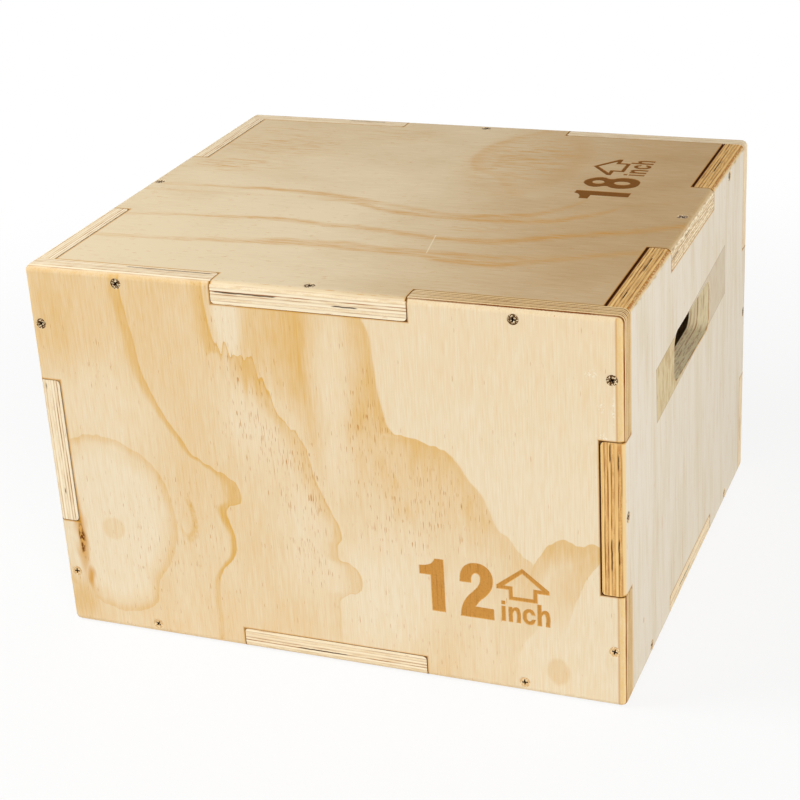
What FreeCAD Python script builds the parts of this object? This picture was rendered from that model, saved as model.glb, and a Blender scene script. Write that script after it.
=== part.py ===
import FreeCAD, Part
import math
import os
from collections import namedtuple

from FreeCAD import Placement, Rotation, Vector

# Plywood jump box: six finger-jointed panels held together by countersunk wood screws.
# All sizes are in millimetres. The origin is the middle of the underside, +X runs along the width,
# the front face looks towards -Y and +Z is up.

# Driving dimensions of the box
WIDTH = 457.2
DEPTH = 406.4
HEIGHT = 304.8
SHEET = 17.0
EDGE_RADIUS = 5.0

# Finger joints: a tab stands in the middle of each of the box's twelve edges
WIDTH_TAB = 150.0
DEPTH_TAB = 140.0
HEIGHT_TAB = 120.0
TAB_END_GAP = 0.3
SIDE_TAB_BACK_GAP = 0.8
TOP_SIDE_GAP = 0.9
ROUTER_RADIUS = 3.0

# Hand slot in the left and right panels
HANDLE_LENGTH = 119.0
HANDLE_HEIGHT = 40.4
HANDLE_CORNER = 11.0
HANDLE_EASING = 0.8
HANDLE_CENTRE_Z = 213.6

# Countersunk wood screw with a cross recess
SCREW_LENGTH = 40.0
SCREW_HEAD_RADIUS = 4.0
SCREW_HEAD_LAND = 0.2
SCREW_SHANK_RADIUS = 2.0
SCREW_TIP_RADIUS = 0.3
SCREW_POINT = 7.0
SCREW_SUNK = 0.2
RECESS_DEPTH = 2.2
RECESS_SPAN = 4.6
RECESS_ARM = 1.1
RECESS_FLOOR_SPAN = 1.6
RECESS_FLOOR_ARM = 0.7
DRIVE_TURN = 37.0

# Fingers that carry no screw
BARE_FINGERS = ("right_screw_top_edge_front",)

# Cutters run past the face that they open by this much
OVERRUN = 1.0

X = Vector(1, 0, 0)
Y = Vector(0, 1, 0)
Z = Vector(0, 0, 1)
QUARTER_ARC_SAG = 1 - math.sqrt(0.5)

# A step is the tab (reach above 0) or the notch (reach below 0) in the middle of a panel's edge
Step = namedtuple("Step", "reach length play")

# A panel lies in its own plane of u and v, about the middle of its outer face.
# Its two u edges carry u_step and its two v edges v_step; the words name them, low end first.
Panel = namedtuple("Panel", "name middle inward u v half_u half_v u_step v_step u_words v_words")

ACROSS = ("left", "right")
ALONG = ("front", "back")
UPRIGHT = ("bottom", "top")


def tab(reach, length):
    """Tab of the given length that stands out from its edge."""
    return Step(reach, length, 0.0)


def notch(depth, length):
    """Notch for a tab of the given length, with play at both of its ends."""
    return Step(-depth, length, TAB_END_GAP)


def half_opening(step):
    """Distance from the middle of a step to the wall at its end."""
    return step.length / 2 + step.play


def box_panels():
    """The six panels, each told by its place, its size and its joints."""
    half_width = WIDTH / 2
    half_depth = DEPTH / 2
    half_height = HEIGHT / 2
    inner_depth = half_depth - SHEET
    inner_width = half_width - SHEET - TOP_SIDE_GAP

    panels = []
    for word, side in zip(ALONG, (-1, 1)):
        panels.append(Panel(
            f"{word}_panel", Vector(0, side * half_depth, half_height), Y * -side, X, Z,
            half_width, half_height,
            notch(SHEET + SIDE_TAB_BACK_GAP, HEIGHT_TAB), notch(SHEET, WIDTH_TAB),
            ACROSS, UPRIGHT,
        ))
    for word, side in zip(ACROSS, (-1, 1)):
        panels.append(Panel(
            f"{word}_panel", Vector(side * half_width, 0, half_height), X * -side, Y, Z,
            inner_depth, half_height,
            tab(SHEET, HEIGHT_TAB), notch(SHEET, DEPTH_TAB),
            ALONG, UPRIGHT,
        ))
    for word, side in zip(UPRIGHT, (-1, 1)):
        panels.append(Panel(
            f"{word}_panel", Vector(0, 0, half_height + side * half_height), Z * -side, X, Y,
            inner_width, inner_depth,
            tab(SHEET + TOP_SIDE_GAP, DEPTH_TAB), tab(SHEET, WIDTH_TAB),
            ACROSS, ALONG,
        ))
    return panels


def panel_edges(panel):
    """The two pairs of edges: outward axis, half size, axis along the edge, its half, step, words."""
    return (
        (panel.u, panel.half_u, panel.v, panel.half_v, panel.u_step, panel.u_words, panel.v_words),
        (panel.v, panel.half_v, panel.u, panel.half_u, panel.v_step, panel.v_words, panel.u_words),
    )


def outline_corners(panel):
    """Corners of a panel's outer face in order."""
    end = half_opening(panel.u_step)
    reach = panel.half_u + panel.u_step.reach
    half = [(panel.half_u, -end), (reach, -end), (reach, end), (panel.half_u, end)]
    half.append((panel.half_u, panel.half_v))
    end = half_opening(panel.v_step)
    reach = panel.half_v + panel.v_step.reach
    half += [(end, panel.half_v), (end, reach), (-end, reach), (-end, panel.half_v)]
    half.append((-panel.half_u, panel.half_v))
    whole = half + [(-u, -v) for u, v in half]
    return [panel.middle + panel.u * u + panel.v * v for u, v in whole]


def routed_outline(corners, normal):
    """Closed outline whose inner corners keep the radius of the router bit."""
    turns = []
    for before, corner, after in zip(corners[-1:] + corners[:-1], corners, corners[1:] + corners[:1]):
        back = (before - corner).normalize()
        ahead = (after - corner).normalize()
        is_inner = ahead.cross(back).dot(normal) < 0
        radius = ROUTER_RADIUS if is_inner else 0.0
        bend = corner + (back + ahead) * (radius * QUARTER_ARC_SAG)
        turns.append((corner + back * radius, bend, corner + ahead * radius, is_inner))
    edges = []
    for (arrive, bend, leave, is_inner), following in zip(turns, turns[1:] + turns[:1]):
        if is_inner:
            edges.append(Part.Arc(arrive, bend, leave).toShape())
        edges.append(Part.LineSegment(leave, following[0]).toShape())
    return Part.Wire(edges)


def corner_sliver(corner, side, other_side, radius, run):
    """Sharp corner of wood outside a radius, along a straight run."""
    start = corner + side * radius
    end = corner + other_side * radius
    bend = corner + (side + other_side) * (radius * QUARTER_ARC_SAG)
    outline = Part.Wire([
        Part.LineSegment(corner, start).toShape(),
        Part.Arc(start, bend, end).toShape(),
        Part.LineSegment(end, corner).toShape(),
    ])
    return Part.Face(outline).extrude(run)


def finger_slivers(panel):
    """Wood to take off the fingers, so that they clear the router radius in the mating panels."""
    inner_face = panel.middle + panel.inward * SHEET
    outward = panel.inward * -1
    slivers = []
    for out, half, along, _, step, _, _ in panel_edges(panel):
        into_wood = -1 if step.reach > 0 else 1
        radius = ROUTER_RADIUS + step.play
        for side in (-1, 1):
            for end in (-1, 1):
                corner = inner_face + out * (side * half) + along * (end * step.length / 2)
                run = out * (side * step.reach)
                slivers.append(corner_sliver(corner, along * (end * into_wood), outward, radius, run))
    return slivers


def rounded_envelope():
    """The whole box as one block with its outer edges rounded over."""
    block = Part.makeBox(WIDTH, DEPTH, HEIGHT, Vector(-WIDTH / 2, -DEPTH / 2, 0))
    return block.makeFillet(EDGE_RADIUS, block.Edges)


def handle_slot(panel):
    """Straight-sided hand slot that runs through a side panel."""
    length_through = SHEET + 2 * OVERRUN
    middle = panel.middle + panel.inward * (SHEET / 2)
    low = Vector(
        middle.x - length_through / 2,
        middle.y - HANDLE_LENGTH / 2,
        HANDLE_CENTRE_Z - HANDLE_HEIGHT / 2,
    )
    block = Part.makeBox(length_through, HANDLE_LENGTH, HANDLE_HEIGHT, low)
    corners = [edge for edge in block.Edges if edge.BoundBox.XLength > SHEET]
    return block.makeFillet(HANDLE_CORNER, corners)


def cut_handle(sheet, panel):
    """Side panel with its hand slot, both rims of the slot eased for the fingers."""
    slot = handle_slot(panel)
    cut = sheet.cut(slot)
    reach = slot.BoundBox
    reach.enlarge(OVERRUN)
    slot_edges = [edge for edge in cut.Edges if reach.isInside(edge.BoundBox)]
    rims = [edge for edge in slot_edges if edge.BoundBox.XLength < OVERRUN]
    return cut.makeFillet(HANDLE_EASING, rims)


def revolved(profile):
    """Solid of revolution about Z from (radius, height) points."""
    points = [Vector(radius, 0, height) for radius, height in profile]
    face = Part.Face(Part.makePolygon(points + points[:1]))
    return face.revolve(Vector(0, 0, 0), Z, 360)


def shank_profile():
    """Lower end of the cone, the shank and the point, which screw and hole share."""
    cone_foot = -SCREW_SUNK - SCREW_HEAD_LAND - (SCREW_HEAD_RADIUS - SCREW_SHANK_RADIUS)
    return [
        (SCREW_SHANK_RADIUS, cone_foot),
        (SCREW_SHANK_RADIUS, SCREW_POINT - SCREW_LENGTH),
        (SCREW_TIP_RADIUS, -SCREW_LENGTH),
        (0, -SCREW_LENGTH),
    ]


def recess_arm(turn):
    """One tapered arm of the cross recess."""
    sections = []
    for span, arm, depth in (
        (RECESS_SPAN, RECESS_ARM, 0.0),
        (RECESS_FLOOR_SPAN, RECESS_FLOOR_ARM, RECESS_DEPTH),
    ):
        height = -SCREW_SUNK - depth
        ends = ((-1, -1), (1, -1), (1, 1), (-1, 1))
        points = [Vector(a * span / 2, b * arm / 2, height) for a, b in ends]
        sections.append(Part.makePolygon(points + points[:1]))
    arm = Part.makeLoft(sections, True, True)
    arm.rotate(Vector(0, 0, 0), Z, turn)
    return arm


def wood_screw():
    """Screw that points down, its head just under the face at height 0."""
    head_top = -SCREW_SUNK
    head = [
        (0, head_top),
        (SCREW_HEAD_RADIUS, head_top),
        (SCREW_HEAD_RADIUS, head_top - SCREW_HEAD_LAND),
    ]
    return revolved(head + shank_profile()).cut([recess_arm(0), recess_arm(90)])


def screw_hole():
    """Countersink and bore that the screw sits in."""
    rim = SCREW_HEAD_RADIUS + SCREW_HEAD_LAND + SCREW_SUNK + OVERRUN
    return revolved([(0, OVERRUN), (rim, OVERRUN)] + shank_profile())


def screw_places(panel):
    """Name and place for each screw: one in a tab, one in each finger beside a notch."""
    places = []
    for out, half, along, along_half, step, words, along_words in panel_edges(panel):
        from_middle = half + max(step.reach, 0) - SHEET / 2
        finger_middle = (step.length / 2 + along_half) / 2
        stations = [("tab", 0.0)]
        if step.reach < 0:
            stations = list(zip(along_words, (-finger_middle, finger_middle)))
        for word, side in zip(words, (-1, 1)):
            for station, distance in stations:
                name = f"{panel.name.split('_')[0]}_screw_{word}_edge_{station}"
                point = panel.middle + out * (side * from_middle) + along * distance
                places.append((name, point, panel.inward))
    return places


def placed(shape, point, inward, turn):
    """Copy of a downward-pointing shape, set at a point of a face and turned about its axis."""
    aim = Rotation(Z * -1, inward).multiply(Rotation(Z, turn))
    return shape.transformed(Placement(point, aim).toMatrix(), True)


def make_panel(panel, envelope, holes):
    """One finished panel: outline, eased fingers, hand slot, rounded edges and screw holes."""
    outline = routed_outline(outline_corners(panel), panel.u.cross(panel.v))
    sheet = Part.Face(outline).extrude(panel.inward * SHEET)
    if abs(panel.inward.x) > 0:
        sheet = cut_handle(sheet, panel)
    sheet = sheet.cut(finger_slivers(panel)).common(envelope)
    near = [hole for hole in holes if hole.BoundBox.intersect(sheet.BoundBox)]
    return sheet.cut(near).removeSplitter()


def main():
    os.makedirs("parts", exist_ok=True)
    panels = box_panels()
    places = [place for panel in panels for place in screw_places(panel) if place[0] not in BARE_FINGERS]
    hole = screw_hole()
    holes = [placed(hole, point, inward, 0) for _, point, inward in places]
    envelope = rounded_envelope()
    for panel in panels:
        shape = make_panel(panel, envelope, holes)
        shape.exportStep(f"parts/{panel.name}.step")
        print(panel.name, len(shape.Solids), shape.isValid(), round(shape.Volume))
    screw = wood_screw()
    for index, (name, point, inward) in enumerate(places):
        placed(screw, point, inward, index * DRIVE_TURN).exportStep(f"parts/{name}.step")
    print(len(places), "screws of", round(screw.Volume, 1), screw.isValid())


main()
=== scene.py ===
"""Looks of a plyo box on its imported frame: plywood panels, burnt height marks, screws and a small studio.

The shaders work in millimetres, in the frame of the part: the origin is the middle of the underside,
X runs along the width, Y from the front face to the back and Z up.
"""

import math
from collections import namedtuple
from functools import partial, reduce

import bmesh
import bpy
from bpy.props import FloatProperty, FloatVectorProperty, IntProperty, PointerProperty
from bpy.types import Operator, Panel, PropertyGroup
from mathutils import Matrix, Vector


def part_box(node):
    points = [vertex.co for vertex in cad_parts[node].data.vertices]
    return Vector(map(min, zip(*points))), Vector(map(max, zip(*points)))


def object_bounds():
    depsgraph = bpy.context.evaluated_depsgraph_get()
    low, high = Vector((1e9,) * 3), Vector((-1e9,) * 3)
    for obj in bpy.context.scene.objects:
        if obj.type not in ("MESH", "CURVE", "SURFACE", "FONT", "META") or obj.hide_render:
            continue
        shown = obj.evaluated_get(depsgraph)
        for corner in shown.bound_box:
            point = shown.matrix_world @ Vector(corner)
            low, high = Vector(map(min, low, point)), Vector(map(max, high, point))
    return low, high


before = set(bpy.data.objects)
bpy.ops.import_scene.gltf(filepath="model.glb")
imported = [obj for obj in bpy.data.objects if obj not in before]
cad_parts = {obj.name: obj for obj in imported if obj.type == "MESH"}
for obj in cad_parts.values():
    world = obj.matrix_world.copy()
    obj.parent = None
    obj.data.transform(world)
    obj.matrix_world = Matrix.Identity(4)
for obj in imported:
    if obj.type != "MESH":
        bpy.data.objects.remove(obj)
CAD_LOW, CAD_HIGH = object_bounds()

bl_info = {
    "name": "Plyo box",
    "version": (1, 0, 0),
    "blender": (4, 5, 0),
    "location": "View3D > Sidebar > Plyo box",
    "description": "Finishes a plywood plyo box and sets it in a small studio",
    "category": "Object",
}

MM = 0.001
X, Y, Z = range(3)
HALF_WIDTH, HALF_DEPTH, HEIGHT = CAD_HIGH / MM
SHEET = 17.0
ROUNDED_EDGE = 5.4
WOOD_GLOSS = 0.05
SCREW_GLOSS = 0.1

# How each panel lies: the axis through its sheet, the side of its outer face and the axes of its face grain
Board = namedtuple("Board", "through side along across")
BOARDS = {
    "front_panel": Board(Y, -1, Z, X),
    "back_panel": Board(Y, 1, Z, X),
    "left_panel": Board(X, -1, Z, Y),
    "right_panel": Board(X, 1, Z, Y),
    "top_panel": Board(Z, 1, X, Y),
    "bottom_panel": Board(Z, -1, X, Y),
}

# Look of one sheet: colours of its veneer, core, cut ends and glue, how much grain and routed edge shows, how
# brown its cut ends and glue lines are by depth below the outer face, and the gaps in its core
Stock = namedtuple("Stock", "pale late grain core end ends glue glues routed gaps")
PALE_ENDS = ((0, 0.3), (3, 0.5), (8, 0.35), (12, 0.5), (17, 0.4))
RIGHT_ENDS = (
    (0, 0.3), (2.2, 0.4), (2.7, 0.85), (4.6, 0.85), (5.1, 0.45), (7, 0.4), (7.6, 0.55), (9.5, 0.5),
    (10, 0.35), (12, 0.4), (12.4, 0.55), (14.3, 0.5), (17, 0.4),
)


def by_glue_line(*levels):
    """Levels at the outer face, at the six glue lines of a sheet and at its inner face, with their depths."""
    return tuple((round(SHEET * line / (len(levels) - 1), 1), level) for line, level in enumerate(levels))


FRONT_GLUES = by_glue_line(0.3, 0.5, 0.8, 0.5, 0.85, 0.6, 0.9, 0.6)
LEFT_GLUES = by_glue_line(0.1, 0.2, 0.6, 0.25, 0.5, 0.9, 1.0, 0.8)
RIGHT_GLUES = by_glue_line(0.4, 0.55, 0.8, 0.5, 1.0, 1.0, 0.95, 0.8)
TOP_GLUES = by_glue_line(0.2, 0.25, 0.3, 0.95, 0.75, 0.35, 0.5, 0.4)
# Gaps in the core: depth, whether they run along the face grain or across it, start and end
ALONG, ACROSS = 0, 1
FRONT_GAPS = ((14.0, ACROSS, -148, -80), (12.2, ACROSS, 118, 146), (7.3, ALONG, 20, 42))
BACK_GAPS = ((7.3, ACROSS, -130, -96), (12.2, ALONG, 30, 52))
LEFT_GAPS = ((5.3, ALONG, 205.5, 209), (8.8, ALONG, 116, 119.5))
RIGHT_GAPS = (
    (9.8, ALONG, 113, 137), (4.5, ALONG, 118, 137), (10.4, ALONG, 198, 211), (4.6, ALONG, 192, 203),
    (9.5, ACROSS, -170, -158), (8.9, ACROSS, -117, -91), (9.4, ACROSS, 112, 138),
)
TOP_GAPS = (
    (7.8, ALONG, -72, -24), (10.8, ALONG, 20, 38), (8.5, ACROSS, -69, -50), (5.2, ACROSS, -28, -14),
)
BOTTOM_GAPS = ((7.3, ALONG, -30, 10), (9.8, ACROSS, -40, -5))
# Where the gaps start to show, from the middle of a face
GAP_ZONE_ALONG = (125, 126)
GAP_ZONE_ACROSS = (170, 171)
# Joint lines of the faces across each axis, folded about the middle of the face: where they lie along and
# across the grain, and on which side of them the panel ends
JOINTS = {
    X: ((135.4, 1, 70.3, -1), (60.0, 1, 186.2, 1)),
    Y: ((135.4, 1, 75.3, -1), (60.3, -1, 210.8, 1)),
    Z: ((75.0, 1, 186.2, 1), (210.7, 1, 70.0, 1)),
}
# What a figure gives at a point: the share of late wood, how many resin canals show and the share of orange
Figure = namedtuple("Figure", "late canals rings", defaults=(0.0,))

# A growth ring of the front, drawn as pairs of height and place or level: its edge, how far the dark
# wood reaches to the left of it, how dark it is, the share of the reach that fades, how wide the edge is and
# how dark a fine line along it is
Ring = namedtuple("Ring", "edge reach strength soft crisp line", defaults=(1.0, 0.0))
FRONT_RINGS = (
    Ring(
        edge=(
            (0, -93), (25, -92.5), (40, -93.3), (52, -92.7), (61, -90.4), (72, -83), (78, -78.6),
            (86, -75.7), (95, -75), (102, -76.2), (111, -79.2), (117, -80), (122, -78), (125.5, -71),
            (129, -66.8), (134, -66), (141.5, -68.3), (147.5, -75.7), (153.5, -86), (159, -96),
            (165, -105), (174, -111), (184, -117.5), (197, -125), (211, -131.5), (225, -137),
            (240, -140.5), (255, -142.7), (272, -145.5), (287, -147.7), (305, -148.6),
        ),
        reach=(
            (0, 8), (50, 7), (75, 5.5), (95, 6.5), (112, 9), (124, 14), (134, 20), (148, 12), (165, 7),
            (200, 9), (240, 13), (305, 15),
        ),
        strength=(
            (0, 0.25), (45, 0.3), (70, 0.75), (100, 0.82), (120, 0.75), (135, 0.62), (165, 0.62),
            (210, 0.56), (250, 0.56), (305, 0.62),
        ),
        soft=0.6, line=0.3,
    ),
    Ring(
        edge=(
            (0, 7.6), (22, 7.6), (40, 8.2), (57, 10), (62, 18.5), (67, 26.5), (73, 28), (84, 24.5),
            (88, 17), (93, 9.8), (102, 10.2), (109, 14), (117, 13.2), (128, 8.2), (140, 2.3), (155, -2.7),
            (170, -6.5), (184, -11), (195, -18), (202, -26), (213, -32), (222, -34.5), (234, -39),
            (244, -45), (249, -54), (252, -68), (261, -75.7), (272, -78), (287, -80), (305, -81.5),
        ),
        reach=(
            (0, 14), (60, 18), (78, 22), (95, 14), (150, 20), (200, 22), (222, 24), (240, 34), (256, 18),
            (305, 15),
        ),
        strength=(
            (0, 0.14), (50, 0.22), (75, 0.36), (110, 0.4), (150, 0.36), (190, 0.4), (215, 0.5),
            (240, 0.66), (260, 0.55), (305, 0.5),
        ),
        soft=0.8, line=0.6,
    ),
    Ring(
        edge=((0, 4), (180, 6), (215, 3), (245, -0.5), (285, -1), (305, -2)),
        reach=((0, 24), (200, 30), (250, 38), (305, 38)),
        strength=((0, 0.0), (160, 0.02), (195, 0.18), (225, 0.5), (270, 0.72), (305, 0.66)),
        soft=1.0, crisp=9.0,
    ),
    Ring(
        edge=(
            (0, 150), (25, 149), (40, 153), (58, 162), (80, 163), (104, 163), (110, 161), (113, 155),
            (119.5, 149.3), (128, 143.5), (134, 136), (144.5, 131.7), (156, 127.3), (165, 121.4),
            (172.4, 114), (183, 108), (190, 102), (193.3, 95), (194.5, 88), (196.5, 80), (199, 71),
            (200.5, 60), (208, 55.2), (217, 53.2), (228, 50.8), (246, 49.3), (261, 47.9), (275, 46.4),
            (287, 41.4), (305, 39),
        ),
        reach=(
            (0, 30), (60, 34), (110, 46), (145, 46), (170, 52), (190, 62), (197, 40), (206, 16), (250, 15),
            (305, 18),
        ),
        strength=(
            (0, 0.04), (50, 0.12), (100, 0.28), (130, 0.25), (165, 0.28), (188, 0.46), (200, 0.55),
            (240, 0.45), (305, 0.4),
        ),
        soft=1.0,
    ),
)
# Lobe at the right: its upper edge by place across, its right side by height and how dark it is by height
FRONT_LOBE_TOP = (
    (100, -60), (130, 20), (145, 70), (158, 98), (162, 110), (166, 117), (170, 124), (177, 130),
    (185, 133.3), (190.5, 131.3), (196.5, 129), (204, 132), (212, 131.5), (229, 131),
)
FRONT_LOBE_SIDE = (
    (0, 120), (38, 140), (50, 170), (55, 183), (70, 189), (84, 193.5), (99, 199.3), (111, 206.7),
    (122, 212), (140, 214),
)
FRONT_LOBE_STRENGTH = ((0, 0.0), (45, 0.0), (65, 0.12), (85, 0.3), (105, 0.44), (125, 0.6), (135, 0.62))
# Oval at the lower left: radius of its edge by the angle around its middle
FRONT_OVAL_MIDDLE = (95, -190)
FRONT_OVAL_EDGE = (
    (-180, 45), (-130, 66), (-92, 77), (-76, 81), (-63, 80), (-53, 72), (-39, 64), (-23, 64), (0, 66),
    (20, 68), (36, 72), (59, 76), (81, 76), (105, 72), (150, 50), (180, 45),
)
# Spots are given as share, middle along and across the grain, half sizes and, for some, how soft the rim is
FRONT_PALE_SPOTS = (
    (0.8, (280, -64), 34, 11, 0.5), (0.6, (235, 16), 80, 13, 0.7), (0.5, (195, -185), 35, 55, 0.7),
    (0.75, (65, 45), 48, 38, 0.8), (0.5, (196, -50), 36, 30, 0.8),
)
FRONT_DARK_SPOTS = ((0.26, (90, -181), 9.5, 9.5), (0.3, (22, 178), 11, 8.5), (0.45, (22, -218), 16, 14, 0.7))
# Where resin dashes show on the front
FRONT_DASHES = (
    (0.5, (232, -172), 32, 18), (0.6, (265, -72), 30, 20), (0.95, (205, -52), 48, 26),
    (1.0, (150, -20), 38, 28), (0.7, (95, -10), 42, 20), (0.85, (212, 42), 48, 26),
    (0.75, (145, 75), 48, 58), (0.5, (80, -130), 75, 70), (0.35, (40, 60), 40, 90),
)
# Knot streak and scuffed spots of the front, without a share of their own
FRONT_KNOTS = (((78, -211), 28, 4, 0.8), ((43, -207), 9, 2.5, 0.7))
FRONT_SCUFFS = (((262, 205.5), 2.5, 4), ((238.5, 212.5), 4, 2), ((236, 221), 9, 1.0), ((214, 213), 4, 4))
# Dark lines in the right edge of the front: depth and share
FRONT_EDGE_LINES = ((2.7, 1.0), (5.2, 0.75), (7.4, 0.45), (9.8, 0.9), (12.2, 0.6), (14.7, 0.8))

# Right side: flecks, the patch with its middle and half sizes, and the hand slot with dark lines in its walls
RIGHT_FLECKS = (
    (0.6, (45, -153), 2.2, 1.2), (0.4, (97, -97), 6, 0.9), (0.2, (158, -70), 14, 0.7),
    (0.25, (172, -62), 9, 0.6),
)
PATCH_TILT = math.radians(3.2)
PATCH_MIDDLE = (214.5, 0.5)
PATCH_HALF = (114.5, 21.3)
SLOT_HEIGHT = 213.6
SLOT_HALF = (60.3, 21.0)
SLOT_LINES = ((5.0, 0.3), (9.7, 0.6), (12.2, 0.3), (15.0, 0.5))

# Rings of the top veneer, as drawn: the middle line of each, as place along the width and place towards
# the back, and how strong it is along the width
TOP_RINGS = (
    (
        (
            (-229, -3), (-154, -1.7), (-116, 0), (-91, -1.2), (-62, -4.6), (-29, -12.9), (-4, -19.9),
            (21, -25.3), (54, -32), (79, -29.5), (104, -21.2), (120, -8.7), (133, 7.9), (142, 24.5),
            (229, 60),
        ),
        (
            (-229, 0.2), (-150, 0.4), (-116, 0.66), (-62, 0.66), (-29, 0.5), (0, 0.34), (21, 0.34),
            (54, 0.5), (79, 0.62), (104, 0.56), (120, 0.44), (136, 0.32), (150, 0), (229, 0),
        ),
    ),
    (
        (
            (-229, -19), (-145, -17), (-90, -14), (-56, -13.7), (-29, -21.2), (-4, -32.8), (29, -37),
            (62, -39), (95, -37), (125, -30.3), (145, -17), (162, -3.7), (172, 12), (229, 40),
        ),
        (
            (-229, 0.3), (-180, 0.22), (-130, 0.1), (-90, 0.06), (-56, 0.4), (-4, 0.52), (62, 0.54),
            (95, 0.6), (130, 0.62), (150, 0.58), (165, 0.42), (180, 0.1), (229, 0.1),
        ),
    ),
    (
        (
            (-229, -84), (-204, -80.2), (-183, -75.2), (-118, -69.8), (-91, -67.7), (-62, -70.6),
            (-37, -71.9), (-4, -74.4), (29, -79.4), (58, -83.5), (87, -82.7), (116, -75.2), (137, -64.8),
            (162, -53.6), (187, -43.2), (208, -31.6), (229, -20),
        ),
        (
            (-229, 0.2), (-180, 0.3), (-118, 0.46), (-91, 0.54), (-37, 0.58), (29, 0.54), (58, 0.54),
            (87, 0.64), (116, 0.7), (162, 0.64), (208, 0.58), (229, 0.5),
        ),
    ),
    (
        (
            (-229, -116), (-71, -112.6), (-46, -111.4), (-12, -109.3), (21, -111.8), (58, -113.4),
            (95, -114.7), (125, -112.6), (150, -104), (229, -80),
        ),
        (
            (-229, 0), (-90, 0.05), (-71, 0.34), (-46, 0.46), (21, 0.42), (58, 0.46), (95, 0.5),
            (125, 0.42), (150, 0.2), (229, 0.1),
        ),
    ),
    (
        (
            (-229, -130), (-187, -128), (-150, -125.5), (-116, -121.7), (-91, -119.7), (-62, -117.6),
            (-12, -117.6), (29, -118.8), (58, -122.2), (87, -127.1), (112, -128), (133, -118.8),
            (154, -108.4), (179, -96.8), (208, -83.5), (229, -74),
        ),
        (
            (-229, 0.2), (-150, 0.34), (-116, 0.42), (-62, 0.54), (29, 0.5), (87, 0.6), (112, 0.6),
            (133, 0.52), (160, 0.46), (208, 0.38), (229, 0.34),
        ),
    ),
)
TOP_HALF_WIDTHS = ((-229, 2.4), (-116, 3.6), (-30, 4.2), (60, 4.6), (115, 6), (229, 6))
# Left side of the eye near the back, as place towards the back and place along the width, and its strength
TOP_EYE_EDGE = (
    (20, 76), (28.7, 70.6), (49.5, 58), (70, 41.5), (87, 20.7), (112, 12.4), (141, 16.6), (170, 29),
    (191, 45.6), (204, 52),
)
TOP_EYE_STRENGTH = ((20, 0), (32, 0.3), (70, 0.36), (100, 0.5), (145, 0.5), (180, 0.36), (204, 0.3))
# Groups of short streaks on the top, and the ends of a scratch
TOP_STREAKS = (
    (0.6, (-172, 60), 36, 22), (0.44, (-156, 116), 52, 30), (0.3, (-165, 156), 44, 20),
    (0.26, (-72, 162), 50, 24), (0.62, (62, 116), 44, 66), (0.5, (75, 25), 14, 10), (0.5, (76, -59), 18, 6),
    (0.2, (150, 160), 40, 26),
)
TOP_SCRATCH = ((51.7, -78), (58.2, -116))


def sharp(*points):
    """Corners of an outline."""
    return [(x, y, "VECTOR") for x, y in points]


def curved(*points):
    """Points of an outline that a smooth curve runs through."""
    return [(x, y, "AUTO") for x, y in points]


def ellipse(middle, half_width, half_height):
    """Closed round outline."""
    turns = [math.radians(45 * step) for step in range(8)]
    return curved(*((middle[0] + half_width * math.cos(turn), middle[1] + half_height * math.sin(turn))
                    for turn in turns))


# Outlines of the height marks, in millimetres from the left end of each base line
ONE = [sharp((18.4, 0), (18.4, 43.4), (12.2, 43.4)) + curved((10.2, 40), (6.2, 37.6))
       + sharp((0, 36.5), (0, 30.1), (8.7, 30.1), (8.7, 0))]
TWO = [sharp((25.3, 0), (25.3, 8.5), (11, 8.8))
       + curved((14.7, 14.3), (19.9, 19.5), (23.9, 25.6), (25.2, 32), (24, 38.4), (20, 43.2), (12.9, 45.1),
                (5.5, 42.6), (1.5, 36.8))
       + sharp((0.4, 29), (8.5, 29))
       + curved((9.2, 34.4), (12.5, 37.3), (15.6, 35.6), (16.1, 31.4), (14.4, 26.6), (10.6, 21.8),
                (5.2, 15.6), (1.6, 8.3))
       + sharp((0, 0))]
EIGHT = [curved((13.2, 44.3), (22, 40), (25.5, 33.1), (22, 24.2), (25.2, 19.4), (26.5, 12), (22.4, 2.9),
                (13.2, 0), (4.2, 2.9), (0, 12), (1.3, 19.4), (4.6, 24.2), (1, 33.1), (4.5, 40)),
         ellipse((13.3, 33), 4.2, 5.2), ellipse((13.2, 13.6), 4.2, 6.8)]
ARROW = [sharp((19.5, 26.3), (39.1, 10.8), (39.1, 8.2), (30.1, 8.2), (30.1, 0), (9.2, 0), (9.2, 8.2),
               (0, 8.2), (0, 10.8)),
         sharp((19.5, 23.1), (34.6, 10.6), (27.8, 10.6), (27.8, 2.3), (11.5, 2.3), (11.5, 10.6),
               (4.5, 10.6))]
LETTER_ARCH = (curved((3.4, 9.2), (4.7, 9.9), (5.8, 8.4)) + sharp((5.9, 0), (8.3, 0))
               + curved((8.2, 9), (6.8, 11.9), (4.4, 12)))
LETTER_I = [sharp((0, 0), (2.4, 0), (2.4, 11.9), (0, 11.9)),
            sharp((0, 14), (2.4, 14), (2.4, 16.3), (0, 16.3))]
LETTER_N = [sharp((0, 0), (2.4, 0), (2.4, 6.8)) + LETTER_ARCH + sharp((2.3, 10.2), (2.3, 11.9), (0, 11.9))]
LETTER_C = [sharp((8.9, 8.2))
            + curved((7.4, 11.4), (4.6, 12.3), (1.2, 10.4), (0, 6.1), (1.2, 1.7), (4.6, -0.2), (7.6, 0.9))
            + sharp((9.1, 4), (6.8, 3.8))
            + curved((6, 2.5), (4.6, 2.1), (2.9, 3.3), (2.4, 6.1), (2.9, 8.9), (4.6, 10), (5.9, 9.6))
            + sharp((6.6, 8.2))]
LETTER_H = [sharp((0, 0), (2.4, 0), (2.4, 6.8)) + LETTER_ARCH + sharp((2.4, 10.2), (2.4, 16.3), (0, 16.3))]
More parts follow.
